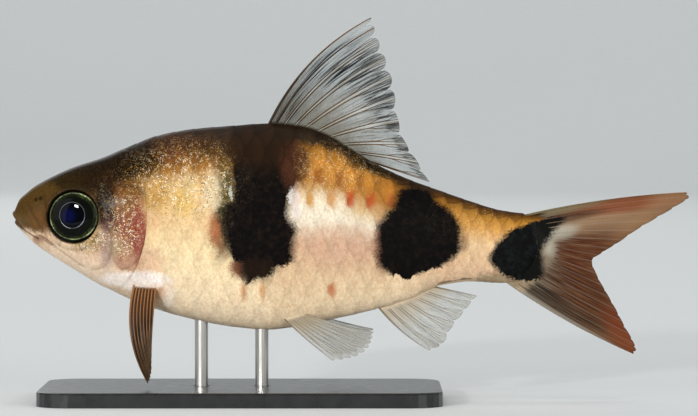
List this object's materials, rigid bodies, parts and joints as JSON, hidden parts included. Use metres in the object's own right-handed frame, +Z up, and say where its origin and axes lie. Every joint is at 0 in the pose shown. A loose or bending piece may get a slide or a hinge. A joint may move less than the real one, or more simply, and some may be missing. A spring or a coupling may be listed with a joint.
{
  "type": "arulius barb model on a stand",
  "caption": "Life-size model of an arulius barb, a deep-bodied aquarium fish with a tall swept-back dorsal fin and a forked tail fin, held still over a flat stand by short rods.",
  "frame": {"origin": "on the floor under the middle of the whole model, fish and stand together", "axes": "-X towards the fish's snout, -Y towards its left side, +Z up"},
  "size_m": [0.1016, 0.032, 0.0575],
  "materials": {
    "head_skin": "satin, painted dark brown over gold",
    "flank_skin": "satin, painted in bands and blotches",
    "gill_cover_skin": "satin, painted dusky pink",
    "eye": "polished",
    "clear_fin": "translucent",
    "red_fin": "translucent red brown",
    "brown_fin": "translucent brown",
    "stand_plate": "matt black",
    "stand_rod": "polished along its length"
  },
  "bodies": {
    "root": {"head": "head_skin", "trunk": "flank_skin", "tail": "flank_skin", "gill_cover_left": "gill_cover_skin", "gill_cover_right": "gill_cover_skin", "eye_left": "eye", "eye_right": "eye", "dorsal_fin": "clear_fin", "anal_fin": "clear_fin", "pelvic_fin_left": "clear_fin", "pelvic_fin_right": "clear_fin", "tail_fin_upper": "red_fin", "tail_fin_lower": "red_fin", "pectoral_fin_left": "brown_fin", "pectoral_fin_right": "brown_fin", "barbel_left": "brown_fin", "barbel_right": "brown_fin", "stand_base": "stand_plate", "stand_rod_front": "stand_rod", "stand_rod_rear": "stand_rod"}
  },
  "joints": []
}
